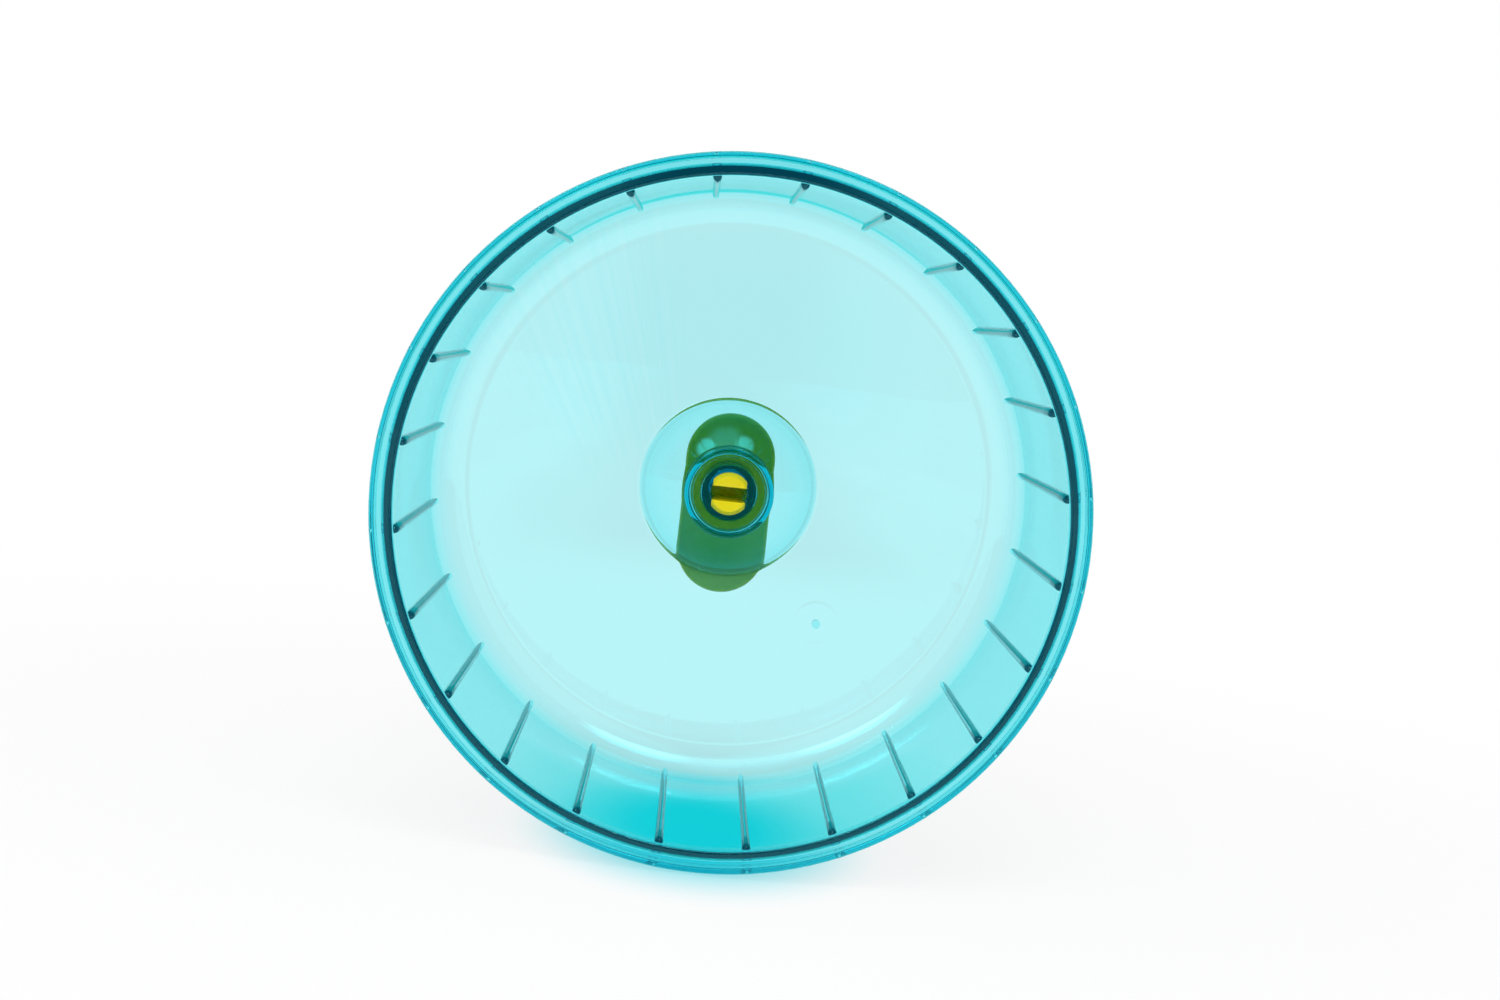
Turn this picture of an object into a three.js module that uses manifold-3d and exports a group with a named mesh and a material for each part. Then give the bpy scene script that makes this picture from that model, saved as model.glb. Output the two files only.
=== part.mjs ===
// Hamster running wheel for the inside of a wire cage, in two injection mouldings.
// A see-through dish, open at the front, spins on the split snap axle of a bracket that clips to cage bars.
// Millimetres, +Z up. The axle lies along Y and the dish's open front faces -Y.
// The origin is on the axle's axis, in the rear face of the bracket, which bears on the bars.

import * as THREE from 'three';
import { mergeVertices } from 'three/addons/utils/BufferGeometryUtils.js';
import Module from 'manifold-3d';

const wasm = await Module();
wasm.setup();

// Dish: the rim, the running wall and the floor
const RIM_DIAMETER = 140;
const DISH_DEPTH = 69.5;
const WALL_THICKNESS = 1.8;
const FLOOR_THICKNESS = 1.3;
const FLOOR_FILLET = 7.5;
const WALL_DRAFT_DEGREES = 0.5;
const REST_TURN_DEGREES = 8.6;

// Dish: the lip round the open front, with a groove behind it
const LIP_REACH = 4.75;
const LIP_DEPTH = 7.5;
const LIP_CROWN = 2.9;
const LIP_LEG = 0.6;
const LIP_INNER_ROUND = 0.7;
const LIP_INNER_ROUND_DEPTH = 0.85;
const LIP_OUTER_ROUND = 0.45;
const LIP_OUTER_ROUND_DEPTH = 1.4;
const GROOVE_ROUND = 0.8;
const GROOVE_ROUND_DEPTH = 1.6;

// Dish: the half-round rungs moulded on the inside of the wall
const RUNG_COUNT = 24;
const RUNG_WIDTH = 1.75;
const RUNG_HEIGHT = 1.15;
const RUNG_SETBACK = 0.9;
const RUNG_RUN_OUT = 4.2;
const RUNG_REAR_WIDTH_SHARE = 0.76;
const RUNG_ROOT_SHARE = 0.25;

// Dish: the dome, the hub tube and the bearing tube
const DOME_DIAMETER = 39.4;
const DOME_RISE = 11.5;
const DOME_WALL = 1.8;
const DOME_FOOT_FILLET = 0.5;
const DOME_MOUTH_ROUND = 0.8;
const DOME_NECK_FILLET = 2;
const HUB_DIAMETER = 19.2;
const HUB_WALL = 0.8;
const HUB_HEIGHT = 18.9;
const HUB_CUP_DEPTH = 1.1;
const HUB_CUP_FILLET = 0.9;
const HUB_EDGE_ROUND = 0.2;
const HUB_DISC_THICKNESS = 1.4;
const BORE_DIAMETER = 7.8;
const BORE_LEAD_IN = 0.5;
const BEARING_WALL = 1.9;

// Dish: the stub that the moulding gate leaves on the back of the floor
const GATE_DIAMETER = 1.9;
const GATE_STUB_HEIGHT = 0.5;
const GATE_PLACE_RADIUS = 36.5;
const GATE_PLACE_DEGREES = -60;

// Bracket: the capsule-shaped body, hollow from behind
const BRACKET_WIDTH = 19.6;
const BRACKET_HEIGHT = 39.8;
const BRACKET_DEPTH = 9;
const BRACKET_TOP_ABOVE_AXLE = 15.8;
const BRACKET_WALL = 1.6;
const BRACKET_FACE_THICKNESS = 2;
const BRACKET_EDGE_ROUND = 1.2;
const BRACKET_WEB = 1.4;
const BRACKET_CORE_DIAMETER = 9.6;

// Bracket: the thrust shoulder and the split snap axle
const SHOULDER_DIAMETER = 12.8;
const SHOULDER_HEIGHT = 1.5;
const END_FLOAT = 0.3;
const SHAFT_CLEARANCE = 0.25;
const HOOK_CATCH = 0.9;
const HOOK_LAND = 1.3;
const HEAD_HEIGHT = 2.5;
const HEAD_TAPER = 0.8;
const HEAD_FLAT_WIDTH = 7.2;
const SLOT_WIDTH = 3.1;
const SLOT_DEPTH = 14;

// Bracket: the fingers that hold two cage bars
const BAR_DIAMETER = 2.2;
const BAR_CLEARANCE = 0.2;
const BAR_SPAN = 20;
const UPPER_BAR_ABOVE_AXLE = 5.4;
const FINGER_WIDTH = 12;
const HOOK_FINGER_THICKNESS = 1.8;
const HOOK_FINGER_DROP = 3.4;
const CLIP_FINGER_THICKNESS = 1.3;
const CLIP_BARB = 0.35;
const CLIP_TIP_LENGTH = 1.5;
const FINGER_EDGE = 0.6;

// Overrun of every cut past the face that it opens
const OVERRUN = 1;

// Counts of the facets on round forms
const DISH_FACETS = 72;
const AXLE_FACETS = 36;
const GATE_FACETS = 12;
const CAPSULE_END_STEPS = 10;
const RUNG_SECTION_STEPS = 6;
const LIP_ROUND_STEPS = 3;
const FLOOR_FILLET_STEPS = 5;
const DOME_STEPS = 7;
const SMALL_ROUND_STEPS = 2;

// Sizes that follow from the ones above
const draft = THREE.MathUtils.degToRad(WALL_DRAFT_DEGREES);
const rimRadius = RIM_DIAMETER / 2;
const frontWallRadius = rimRadius - LIP_REACH;
const rimFront = -DISH_DEPTH;
const wallFront = rimFront + LIP_INNER_ROUND_DEPTH;
const floorFront = -FLOOR_THICKNESS;
const domeRadius = DOME_DIAMETER / 2;
const domeSphere = (domeRadius ** 2 + DOME_RISE ** 2) / (2 * DOME_RISE);
const domeMiddle = floorFront - DOME_RISE + domeSphere;
const hubRadius = HUB_DIAMETER / 2;
const hubInnerRadius = hubRadius - HUB_WALL;
const hubFront = floorFront - HUB_HEIGHT;
const discFront = hubFront + HUB_CUP_DEPTH;
const discRear = discFront + HUB_DISC_THICKNESS;
const boreRadius = BORE_DIAMETER / 2;
const shaftRadius = boreRadius - SHAFT_CLEARANCE;
const dishBehindBars = -(BRACKET_DEPTH + SHOULDER_HEIGHT + END_FLOAT);
const capsuleRadius = BRACKET_WIDTH / 2;
const capsuleTop = BRACKET_TOP_ABOVE_AXLE - capsuleRadius;
const capsuleBottom = BRACKET_TOP_ABOVE_AXLE - BRACKET_HEIGHT + capsuleRadius;

// Radius of the inside of the running wall at a depth y, with its moulding draft
function wallRadius(y) {
  return frontWallRadius - (y - wallFront) * Math.tan(draft);
}

// Points of an elliptical arc, from one angle to another
function arc(centreR, centreY, radiusR, radiusY, from, to, steps) {
  const clockwise = to < from;
  const curve = new THREE.EllipseCurve(centreR, centreY, radiusR, radiusY, from, to, clockwise);
  return curve.getPoints(steps);
}

function point(r, y) {
  return new THREE.Vector2(r, y);
}

// Signed volume of a closed indexed geometry, which is below zero when its faces point inwards
function signedVolume(positions, triangles) {
  const a = new THREE.Vector3();
  const b = new THREE.Vector3();
  const c = new THREE.Vector3();
  let sum = 0;
  for (let i = 0; i < triangles.length; i += 3) {
    a.fromArray(positions, 3 * triangles[i]);
    b.fromArray(positions, 3 * triangles[i + 1]);
    c.fromArray(positions, 3 * triangles[i + 2]);
    sum += a.dot(b.cross(c));
  }
  return sum / 6;
}

// A closed geometry as a solid that can be joined and cut, with its faces turned outwards
function solidOf(geometry) {
  const bare = geometry.clone();
  bare.deleteAttribute('normal');
  bare.deleteAttribute('uv');
  const merged = mergeVertices(bare);
  const positions = merged.attributes.position.array;
  const index = merged.index.array;
  const triangles = [];
  for (let i = 0; i < index.length; i += 3) {
    const [p, q, r] = [index[i], index[i + 1], index[i + 2]];
    if (p !== q && q !== r && r !== p) triangles.push(p, q, r);
  }
  if (signedVolume(positions, triangles) < 0) triangles.reverse();
  const vertProperties = new Float32Array(positions);
  const triVerts = new Uint32Array(triangles);
  return new wasm.Manifold(new wasm.Mesh({ numProp: 3, vertProperties, triVerts }));
}

// A finished solid as a geometry with flat facets
function geometryOf(solid) {
  const mesh = solid.getMesh();
  const geometry = new THREE.BufferGeometry();
  geometry.setAttribute('position', new THREE.BufferAttribute(new Float32Array(mesh.vertProperties), 3));
  geometry.setIndex(new THREE.BufferAttribute(new Uint32Array(mesh.triVerts), 1));
  const faceted = geometry.toNonIndexed();
  faceted.computeVertexNormals();
  return faceted;
}

function joined(solids) {
  return solids.reduce((whole, solid) => whole.add(solid));
}

// A solid of revolution about the Y axis, from an outline of radius and depth
function revolve(outline, facets) {
  return solidOf(new THREE.LatheGeometry(outline, facets));
}

// A closed skin through a row of convex rings that have the same number of points
function loft(rings) {
  const count = rings[0].length;
  const positions = rings.flat().flatMap((p) => [p.x, p.y, p.z]);
  const triangles = [];
  for (let row = 0; row < rings.length - 1; row += 1) {
    for (let i = 0; i < count; i += 1) {
      const next = (i + 1) % count;
      const [a, b] = [row * count + i, row * count + next];
      const [c, d] = [a + count, b + count];
      triangles.push(a, b, d, a, d, c);
    }
  }
  const last = (rings.length - 1) * count;
  for (let i = 1; i < count - 1; i += 1) {
    triangles.push(0, i + 1, i);
    triangles.push(last, last + i, last + i + 1);
  }
  const geometry = new THREE.BufferGeometry();
  geometry.setAttribute('position', new THREE.Float32BufferAttribute(positions, 3));
  geometry.setIndex(triangles);
  return solidOf(geometry);
}

// A box between two corners
function block(low, high) {
  const size = high.map((value, i) => value - low[i]);
  const middle = high.map((value, i) => (value + low[i]) / 2);
  const geometry = new THREE.BoxGeometry(...size);
  geometry.translate(...middle);
  return solidOf(geometry);
}

// An outline of depth and height, drawn out along X over a width centred on the axle
function drawnAlongX(points, width) {
  const shape = new THREE.Shape(points.map(([y, z]) => new THREE.Vector2(y, z)));
  const geometry = new THREE.ExtrudeGeometry(shape, { depth: width, bevelEnabled: false });
  geometry.translate(0, 0, -width / 2);
  const turn = new THREE.Matrix4().makeBasis(
    new THREE.Vector3(0, 1, 0),
    new THREE.Vector3(0, 0, 1),
    new THREE.Vector3(1, 0, 0),
  );
  geometry.applyMatrix4(turn);
  return solidOf(geometry);
}

// The third side of a right-angled triangle, from its longest side and another
function thirdSide(longest, other) {
  return Math.sqrt(longest ** 2 - other ** 2);
}

// The dome's front, a cap of a sphere between its neck fillet on the hub and its foot fillet on the floor
function domeFrontOutline() {
  const neckR = hubRadius + DOME_NECK_FILLET;
  const neckY = domeMiddle - thirdSide(domeSphere + DOME_NECK_FILLET, neckR);
  const footY = floorFront - DOME_FOOT_FILLET;
  const footR = thirdSide(domeSphere + DOME_FOOT_FILLET, domeMiddle - footY);
  const toNeck = Math.atan2(neckY - domeMiddle, neckR);
  const toFoot = Math.atan2(footY - domeMiddle, footR);
  return [
    ...arc(
      neckR, neckY, DOME_NECK_FILLET, DOME_NECK_FILLET,
      Math.PI, toNeck + Math.PI, SMALL_ROUND_STEPS,
    ),
    ...arc(0, domeMiddle, domeSphere, domeSphere, toNeck, toFoot, DOME_STEPS).slice(1),
    ...arc(
      footR, footY, DOME_FOOT_FILLET, DOME_FOOT_FILLET,
      toFoot + Math.PI, Math.PI / 2, SMALL_ROUND_STEPS,
    ).slice(1),
  ];
}

// The hollow dome's inside, from its rounded mouth in the back of the floor to the hub tube
function domeRearOutline() {
  const inside = domeSphere - DOME_WALL;
  const mouthY = -DOME_MOUTH_ROUND;
  const mouthR = thirdSide(inside + DOME_MOUTH_ROUND, domeMiddle - mouthY);
  const toMouth = Math.atan2(mouthY - domeMiddle, mouthR);
  const toTube = -Math.acos(hubInnerRadius / inside);
  return [
    ...arc(
      mouthR, mouthY, DOME_MOUTH_ROUND, DOME_MOUTH_ROUND,
      Math.PI / 2, toMouth + Math.PI, SMALL_ROUND_STEPS,
    ),
    ...arc(0, domeMiddle, inside, inside, toMouth, toTube, DOME_STEPS).slice(1),
  ];
}

// Front of the dish's outline, from the bore over the hub cup and the hub's edge to the dome and the floor
function hubFrontOutline() {
  const cupFillet = Math.min(HUB_CUP_FILLET, HUB_CUP_DEPTH);
  return [
    point(boreRadius, discFront),
    ...arc(
      hubInnerRadius - cupFillet, discFront - cupFillet, cupFillet, cupFillet,
      Math.PI / 2, 0, SMALL_ROUND_STEPS,
    ),
    point(hubInnerRadius, hubFront),
    ...arc(
      hubRadius - HUB_EDGE_ROUND, hubFront + HUB_EDGE_ROUND, HUB_EDGE_ROUND, HUB_EDGE_ROUND,
      -Math.PI / 2, 0, SMALL_ROUND_STEPS,
    ),
    ...domeFrontOutline(),
  ];
}

// Arc that joins the flat floor to the drafted wall, seen from the middle outwards
function floorCorner(radius, floorY, wallOffset) {
  const centreY = floorY - radius;
  const centreR = wallRadius(centreY) + (wallOffset - radius) / Math.cos(draft);
  return arc(centreR, centreY, radius, radius, Math.PI / 2, draft, FLOOR_FILLET_STEPS);
}

// The lip, over the front from the wall to the outside and back through the groove behind it
function lipOutline() {
  const legEnd = rimFront + LIP_DEPTH;
  const grooveOuter = rimRadius - LIP_LEG;
  const grooveInner = frontWallRadius + WALL_THICKNESS;
  const grooveY = rimFront + LIP_CROWN + GROOVE_ROUND_DEPTH;
  const grooveRound = Math.min(GROOVE_ROUND, (grooveOuter - grooveInner) / 2);
  return [
    ...arc(
      frontWallRadius + LIP_INNER_ROUND, wallFront, LIP_INNER_ROUND, LIP_INNER_ROUND_DEPTH,
      -Math.PI, -Math.PI / 2, LIP_ROUND_STEPS,
    ),
    ...arc(
      rimRadius - LIP_OUTER_ROUND, rimFront + LIP_OUTER_ROUND_DEPTH, LIP_OUTER_ROUND, LIP_OUTER_ROUND_DEPTH,
      -Math.PI / 2, 0, LIP_ROUND_STEPS,
    ),
    point(rimRadius, legEnd),
    point(grooveOuter, legEnd),
    ...arc(
      grooveOuter - grooveRound, grooveY, grooveRound, GROOVE_ROUND_DEPTH,
      0, -Math.PI / 2, LIP_ROUND_STEPS,
    ),
    ...arc(
      grooveInner + grooveRound, grooveY, grooveRound, GROOVE_ROUND_DEPTH,
      -Math.PI / 2, -Math.PI, LIP_ROUND_STEPS,
    ),
  ];
}

// Back of the dish's outline, from the floor into the hollow dome and back along the bearing tube
function hubRearOutline() {
  const bearingRadius = boreRadius + BEARING_WALL;
  return [
    ...domeRearOutline(),
    point(hubInnerRadius, discRear),
    point(bearingRadius, discRear),
    point(bearingRadius, 0),
    point(boreRadius + BORE_LEAD_IN, 0),
    point(boreRadius, -BORE_LEAD_IN),
    point(boreRadius, discFront),
  ];
}

function dishShell() {
  const outline = [
    ...hubFrontOutline(),
    ...floorCorner(FLOOR_FILLET, floorFront, 0),
    ...lipOutline(),
    ...floorCorner(FLOOR_FILLET + WALL_THICKNESS, 0, WALL_THICKNESS).reverse(),
    ...hubRearOutline(),
  ];
  return revolve(outline, DISH_FACETS);
}

// One rung at the top of the wall: half-round, blunt at the front, its back end sunk in the floor fillet
function rung() {
  const front = rimFront + RUNG_SETBACK;
  const rear = floorFront - FLOOR_FILLET + RUNG_RUN_OUT;
  const root = WALL_THICKNESS * RUNG_ROOT_SHARE;
  const noseShares = [[0, 0.4], [0.35, 0.8], [1, 1]];
  const stations = [
    ...noseShares.map(([along, full]) => [front + along * RUNG_HEIGHT, full]),
    [rear, 1],
  ];
  const rings = stations.map(([y, full]) => {
    const alongShare = (y - front) / (rear - front);
    const narrowing = THREE.MathUtils.lerp(1, RUNG_REAR_WIDTH_SHARE, alongShare);
    const halfWidth = (RUNG_WIDTH / 2) * narrowing * full;
    const crown = RUNG_HEIGHT * full;
    const base = wallRadius(Math.max(y, wallFront));
    const section = arc(0, 0, halfWidth, crown, 0, Math.PI, RUNG_SECTION_STEPS);
    return [
      ...section.map((p) => new THREE.Vector3(p.x, y, base - p.y)),
      new THREE.Vector3(-halfWidth, y, base + root),
      new THREE.Vector3(halfWidth, y, base + root),
    ];
  });
  return loft(rings);
}

function rungs() {
  const one = rung();
  const degrees = 360 / RUNG_COUNT;
  return Array.from({ length: RUNG_COUNT }, (_, i) => one.rotate([0, i * degrees, 0]));
}

function gateStub() {
  const height = GATE_STUB_HEIGHT + FLOOR_THICKNESS / 2;
  const stub = new THREE.CylinderGeometry(GATE_DIAMETER / 2, GATE_DIAMETER / 2, height, GATE_FACETS);
  const place = THREE.MathUtils.degToRad(GATE_PLACE_DEGREES);
  stub.translate(
    GATE_PLACE_RADIUS * Math.cos(place),
    GATE_STUB_HEIGHT - height / 2,
    GATE_PLACE_RADIUS * Math.sin(place),
  );
  return solidOf(stub);
}

function runningDish() {
  return joined([dishShell(), ...rungs(), gateStub()]);
}

// A ring round the capsule outline, drawn in by an inset, at depth y
function capsuleRing(inset, y) {
  const radius = capsuleRadius - inset;
  const top = arc(0, capsuleTop, radius, radius, 0, Math.PI, CAPSULE_END_STEPS);
  const bottom = arc(0, capsuleBottom, radius, radius, Math.PI, 2 * Math.PI, CAPSULE_END_STEPS);
  return [...top, ...bottom].map((p) => new THREE.Vector3(p.x, y, p.y));
}

function capsuleBody() {
  const front = -BRACKET_DEPTH;
  const roundShares = [[0, 1], [0.3, 0.29], [1, 0]];
  const rings = roundShares.map(([back, inset]) => (
    capsuleRing(inset * BRACKET_EDGE_ROUND, front + back * BRACKET_EDGE_ROUND)
  ));
  return loft([...rings, capsuleRing(0, 0)]);
}

// The stiffening webs, the axle's core and the bridges that carry the fingers, inside the capsule
function capsuleInside(capsule) {
  const floor = -BRACKET_DEPTH + BRACKET_FACE_THICKNESS / 2;
  const web = BRACKET_WEB / 2;
  const top = capsuleTop + capsuleRadius;
  const bottom = capsuleBottom - capsuleRadius;
  const bridges = fingerRoots().map(([low, high]) => (
    block([-capsuleRadius, floor, low], [capsuleRadius, 0, high])
  ));
  const core = new THREE.CylinderGeometry(
    BRACKET_CORE_DIAMETER / 2, BRACKET_CORE_DIAMETER / 2, -floor, AXLE_FACETS,
  );
  core.translate(0, floor / 2, 0);
  const spine = block([-web, floor, bottom], [web, 0, top]);
  return joined([spine, solidOf(core), ...bridges]).intersect(capsule);
}

const barRadius = BAR_DIAMETER / 2;
const barSeat = barRadius + BAR_CLEARANCE / 2;
const upperBar = UPPER_BAR_ABOVE_AXLE;
const lowerBar = upperBar - BAR_SPAN;

// Heights between which each finger leaves the capsule: the hook above the upper bar, then the clip's two
function fingerRoots() {
  return [
    [upperBar + barSeat, upperBar + barSeat + HOOK_FINGER_THICKNESS],
    [lowerBar + barSeat, lowerBar + barSeat + CLIP_FINGER_THICKNESS],
    [lowerBar - barSeat - CLIP_FINGER_THICKNESS, lowerBar - barSeat],
  ];
}

// The hook that hangs on the upper bar: back over the bar, then down behind it
function upperHook() {
  const root = -BRACKET_DEPTH + BRACKET_FACE_THICKNESS / 2;
  const behind = 2 * barSeat;
  const back = behind + HOOK_FINGER_THICKNESS;
  const seat = upperBar + barSeat;
  const crown = seat + HOOK_FINGER_THICKNESS;
  const tip = seat - HOOK_FINGER_DROP;
  return drawnAlongX([
    [root, seat],
    [behind, seat],
    [behind, tip + FINGER_EDGE],
    [behind + FINGER_EDGE, tip],
    [back - FINGER_EDGE, tip],
    [back, tip + FINGER_EDGE],
    [back, crown - FINGER_EDGE],
    [back - FINGER_EDGE, crown],
    [root, crown],
  ], FINGER_WIDTH);
}

// One springy finger of the clip that snaps over the lower bar; side is +1 above the bar and -1 below
function clipFinger(side) {
  const root = -BRACKET_DEPTH + BRACKET_FACE_THICKNESS / 2;
  const barb = barSeat + barRadius;
  const tip = barb + CLIP_TIP_LENGTH;
  const outside = barSeat + CLIP_FINGER_THICKNESS;
  const outline = [
    [root, barSeat],
    [barSeat, barSeat],
    [barb, barSeat - CLIP_BARB],
    [tip, outside - FINGER_EDGE],
    [tip, outside],
    [root, outside],
  ];
  const placed = outline.map(([y, z]) => [y, lowerBar + side * z]);
  return drawnAlongX(side > 0 ? placed : placed.reverse(), FINGER_WIDTH);
}

// The axle in one turned form: thrust shoulder, shaft, catch and tapered head
function axleBlank(headFront) {
  const root = -BRACKET_DEPTH + BRACKET_FACE_THICKNESS / 2;
  const shoulderFront = -BRACKET_DEPTH - SHOULDER_HEIGHT;
  const catchRear = headFront + HEAD_HEIGHT;
  const catchRadius = shaftRadius + HOOK_CATCH;
  return revolve([
    point(0, root),
    point(SHOULDER_DIAMETER / 2, root),
    point(SHOULDER_DIAMETER / 2, shoulderFront),
    point(shaftRadius, shoulderFront),
    point(shaftRadius, catchRear),
    point(catchRadius, catchRear),
    point(catchRadius, catchRear - HOOK_LAND),
    point(catchRadius - HEAD_TAPER, headFront),
    point(0, headFront),
  ].reverse(), AXLE_FACETS);
}

// The split axle: the slot leaves two prongs, and flats trim the sides of the head
function snapAxle() {
  const headFront = dishBehindBars + discFront - END_FLOAT - HEAD_HEIGHT;
  const open = headFront - OVERRUN;
  const slotEnd = headFront + SLOT_DEPTH;
  const side = shaftRadius + HOOK_CATCH + OVERRUN;
  const slot = block([-side, open, -SLOT_WIDTH / 2], [side, slotEnd, SLOT_WIDTH / 2]);
  const slotRound = new THREE.CylinderGeometry(SLOT_WIDTH / 2, SLOT_WIDTH / 2, 2 * side, GATE_FACETS);
  slotRound.rotateZ(Math.PI / 2);
  slotRound.translate(0, slotEnd, 0);
  const flat = HEAD_FLAT_WIDTH / 2;
  const catchRear = headFront + HEAD_HEIGHT;
  const cuts = [
    slot,
    solidOf(slotRound),
    block([flat, open, -side], [side, catchRear, side]),
    block([-side, open, -side], [-flat, catchRear, side]),
  ];
  return cuts.reduce((axle, cut) => axle.subtract(cut), axleBlank(headFront));
}

function axleBracket() {
  const capsule = capsuleBody();
  const pocketFloor = -BRACKET_DEPTH + BRACKET_FACE_THICKNESS;
  const pocket = loft([
    capsuleRing(BRACKET_WALL, pocketFloor),
    capsuleRing(BRACKET_WALL, OVERRUN),
  ]);
  return joined([
    capsule.subtract(pocket),
    capsuleInside(capsule),
    upperHook(),
    clipFinger(1),
    clipFinger(-1),
    snapAxle(),
  ]);
}

// A named piece of the assembly, in its own plastic
function piece(name, solid, material) {
  const mesh = new THREE.Mesh(geometryOf(solid), material);
  mesh.name = name;
  return mesh;
}

const cyanPlastic = new THREE.MeshStandardMaterial({
  color: 0x35d3de,
  roughness: 0.08,
  metalness: 0,
  transparent: true,
  opacity: 0.5,
});
const yellowPlastic = new THREE.MeshStandardMaterial({ color: 0xe8cf1c, roughness: 0.28, metalness: 0 });

const wheel = new THREE.Group();

const dish = piece('running_dish', runningDish(), cyanPlastic);
dish.position.y = dishBehindBars;
dish.rotation.y = -THREE.MathUtils.degToRad(REST_TURN_DEGREES);
wheel.add(dish);

wheel.add(piece('axle_bracket', axleBracket(), yellowPlastic));

export default wheel;
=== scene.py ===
# Studio picture of a hamster running wheel: a see-through cyan dish on the yellow bracket that clips to a cage.
# Metres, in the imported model's frame. The axle lies along Y, the dish's open front faces -Y and +Z is up.

import math

import bpy
from mathutils import Matrix, Vector


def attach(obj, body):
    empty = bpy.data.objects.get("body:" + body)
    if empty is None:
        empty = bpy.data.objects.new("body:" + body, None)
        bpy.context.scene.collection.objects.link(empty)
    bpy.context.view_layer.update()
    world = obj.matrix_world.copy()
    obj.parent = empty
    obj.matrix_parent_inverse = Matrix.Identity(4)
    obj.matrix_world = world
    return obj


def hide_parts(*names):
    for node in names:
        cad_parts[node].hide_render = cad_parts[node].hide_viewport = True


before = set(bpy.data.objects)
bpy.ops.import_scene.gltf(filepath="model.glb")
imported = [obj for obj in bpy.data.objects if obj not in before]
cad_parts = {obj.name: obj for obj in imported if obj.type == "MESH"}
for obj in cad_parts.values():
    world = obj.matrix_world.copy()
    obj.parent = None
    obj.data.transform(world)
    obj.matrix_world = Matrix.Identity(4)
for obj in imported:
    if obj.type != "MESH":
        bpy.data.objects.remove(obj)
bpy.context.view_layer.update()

MM = 0.001

# Dish, in millimetres, with depths counted from the back of its floor
RIM_RADIUS = 70
DISH_DEPTH = 69.5
WALL = 1.8
FLOOR = 1.3
FLOOR_FILLET = 7.5
DRAFT = math.radians(0.5)
REST_TURN = math.radians(8.6)

# Lip round the open front; its rounds are elliptical, with a width and a depth
LIP_REACH = 4.75
LIP_DEPTH = 7.5
LIP_CROWN = 2.9
LIP_LEG = 0.6
LIP_INNER_ROUND = (0.7, 0.85)
LIP_OUTER_ROUND = (0.45, 1.4)
GROOVE_ROUND = (0.8, 1.6)
LEG_ROUND = 0.12

# Rungs moulded on the wall; near the axle an edge of their strip stays within an angle, in radians
RUNG_COUNT = 24
RUNG_WIDTH = 1.75
RUNG_HEIGHT = 1.15
RUNG_SETBACK = 0.9
RUNG_RUN_OUT = 4.2
RUNG_REAR_WIDTH = 0.76
RUNG_LEAST_WIDTH = 0.12
RUNG_WIDEST_EDGE = 0.03

# Dome, hub tube and bearing tube
DOME_RADIUS = 19.7
DOME_RISE = 11.5
DOME_WALL = 1.8
DOME_FOOT_FILLET = 0.5
DOME_MOUTH_ROUND = 0.8
DOME_NECK_FILLET = 0.5
HUB_RADIUS = 9.6
HUB_WALL = 0.95
HUB_HEIGHT = 18.9
HUB_CUP_DEPTH = 1.1
HUB_CUP_FILLET = 0.25
HUB_EDGE_ROUND = 0.12
HUB_DISC = 1.4
HUB_DISC_ROUND = 0.5
CUP_RIDGE_RADIUS = 7.8
CUP_RIDGE = 0.07
BORE_RADIUS = 3.9
BORE_LEAD_IN = 0.5
BORE_EDGE_ROUND = 0.2
BEARING_WALL = 1.9
BEARING_FILLET = 0.4

# Stub of the moulding gate on the back of the floor, and the ring that the nozzle left round it
GATE_RADIUS = 0.95
GATE_STUB = 0.9
GATE_RING = 4.6
GATE_RING_WIDTH = 0.8
GATE_RING_HEIGHT = 0.012
GATE_FROM_AXLE = 36.5
GATE_ANGLE = math.radians(-60)

# Bracket, in millimetres, with depths counted from its back; lists of rounds go from corner to corner
BRACKET_WIDTH = 19.6
BRACKET_HEIGHT = 39.8
BRACKET_DEPTH = 9
BRACKET_TOP = 15.8
BRACKET_WALL = 1.6
BRACKET_FACE = 2
BRACKET_ROUND = 1.2
BRACKET_REAR_ROUND = 0.25
BRACKET_BREAK = 0.12
POCKET_ROUND = 0.3
BRACKET_WEB = 1.4
CORE_RADIUS = 4.8
SHOULDER_RADIUS = 6.4
SHOULDER_HEIGHT = 1.5
END_FLOAT = 0.3
SHAFT_RADIUS = 3.65
HOOK_CATCH = 0.9
HOOK_LAND = 1.3
HEAD_HEIGHT = 2.5
HEAD_TAPER = 0.8
HEAD_FLAT = 3.6
SLOT_WIDTH = 3.1
SLOT_DEPTH = 14
AXLE_ROUNDS = (0, 0, 0.2, 0.25, 0.15, 0.12, 0.3, 0.4, 0)
BAR_RADIUS = 1.1
BAR_SEAT = 1.2
UPPER_BAR = 5.4
LOWER_BAR = -14.6
FINGER_WIDTH = 12
HOOK_THICKNESS = 1.8
HOOK_DROP = 3.4
HOOK_SEAT_ROUND = 0.3
CLIP_THICKNESS = 1.3
CLIP_BARB = 0.35
CLIP_TIP = 1.5
CLIP_ROUNDS = (0.4, 0.15, 0.25)
FINGER_EDGE = 0.6

# Steps on the rounds and along the wall
SMALL_STEPS = 4
LIP_STEPS = 9
CORNER_STEPS = 9
DOME_STEPS = 19
NECK_STEPS = 7
WALL_STEPS = 9
RUNG_SECTION_STEPS = 8
RUNG_GAP_STEPS = 8
TURNED_STEPS = 96
ROUND_SIDES = 32
BRACKET_ROUND_STEPS = 8

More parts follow.
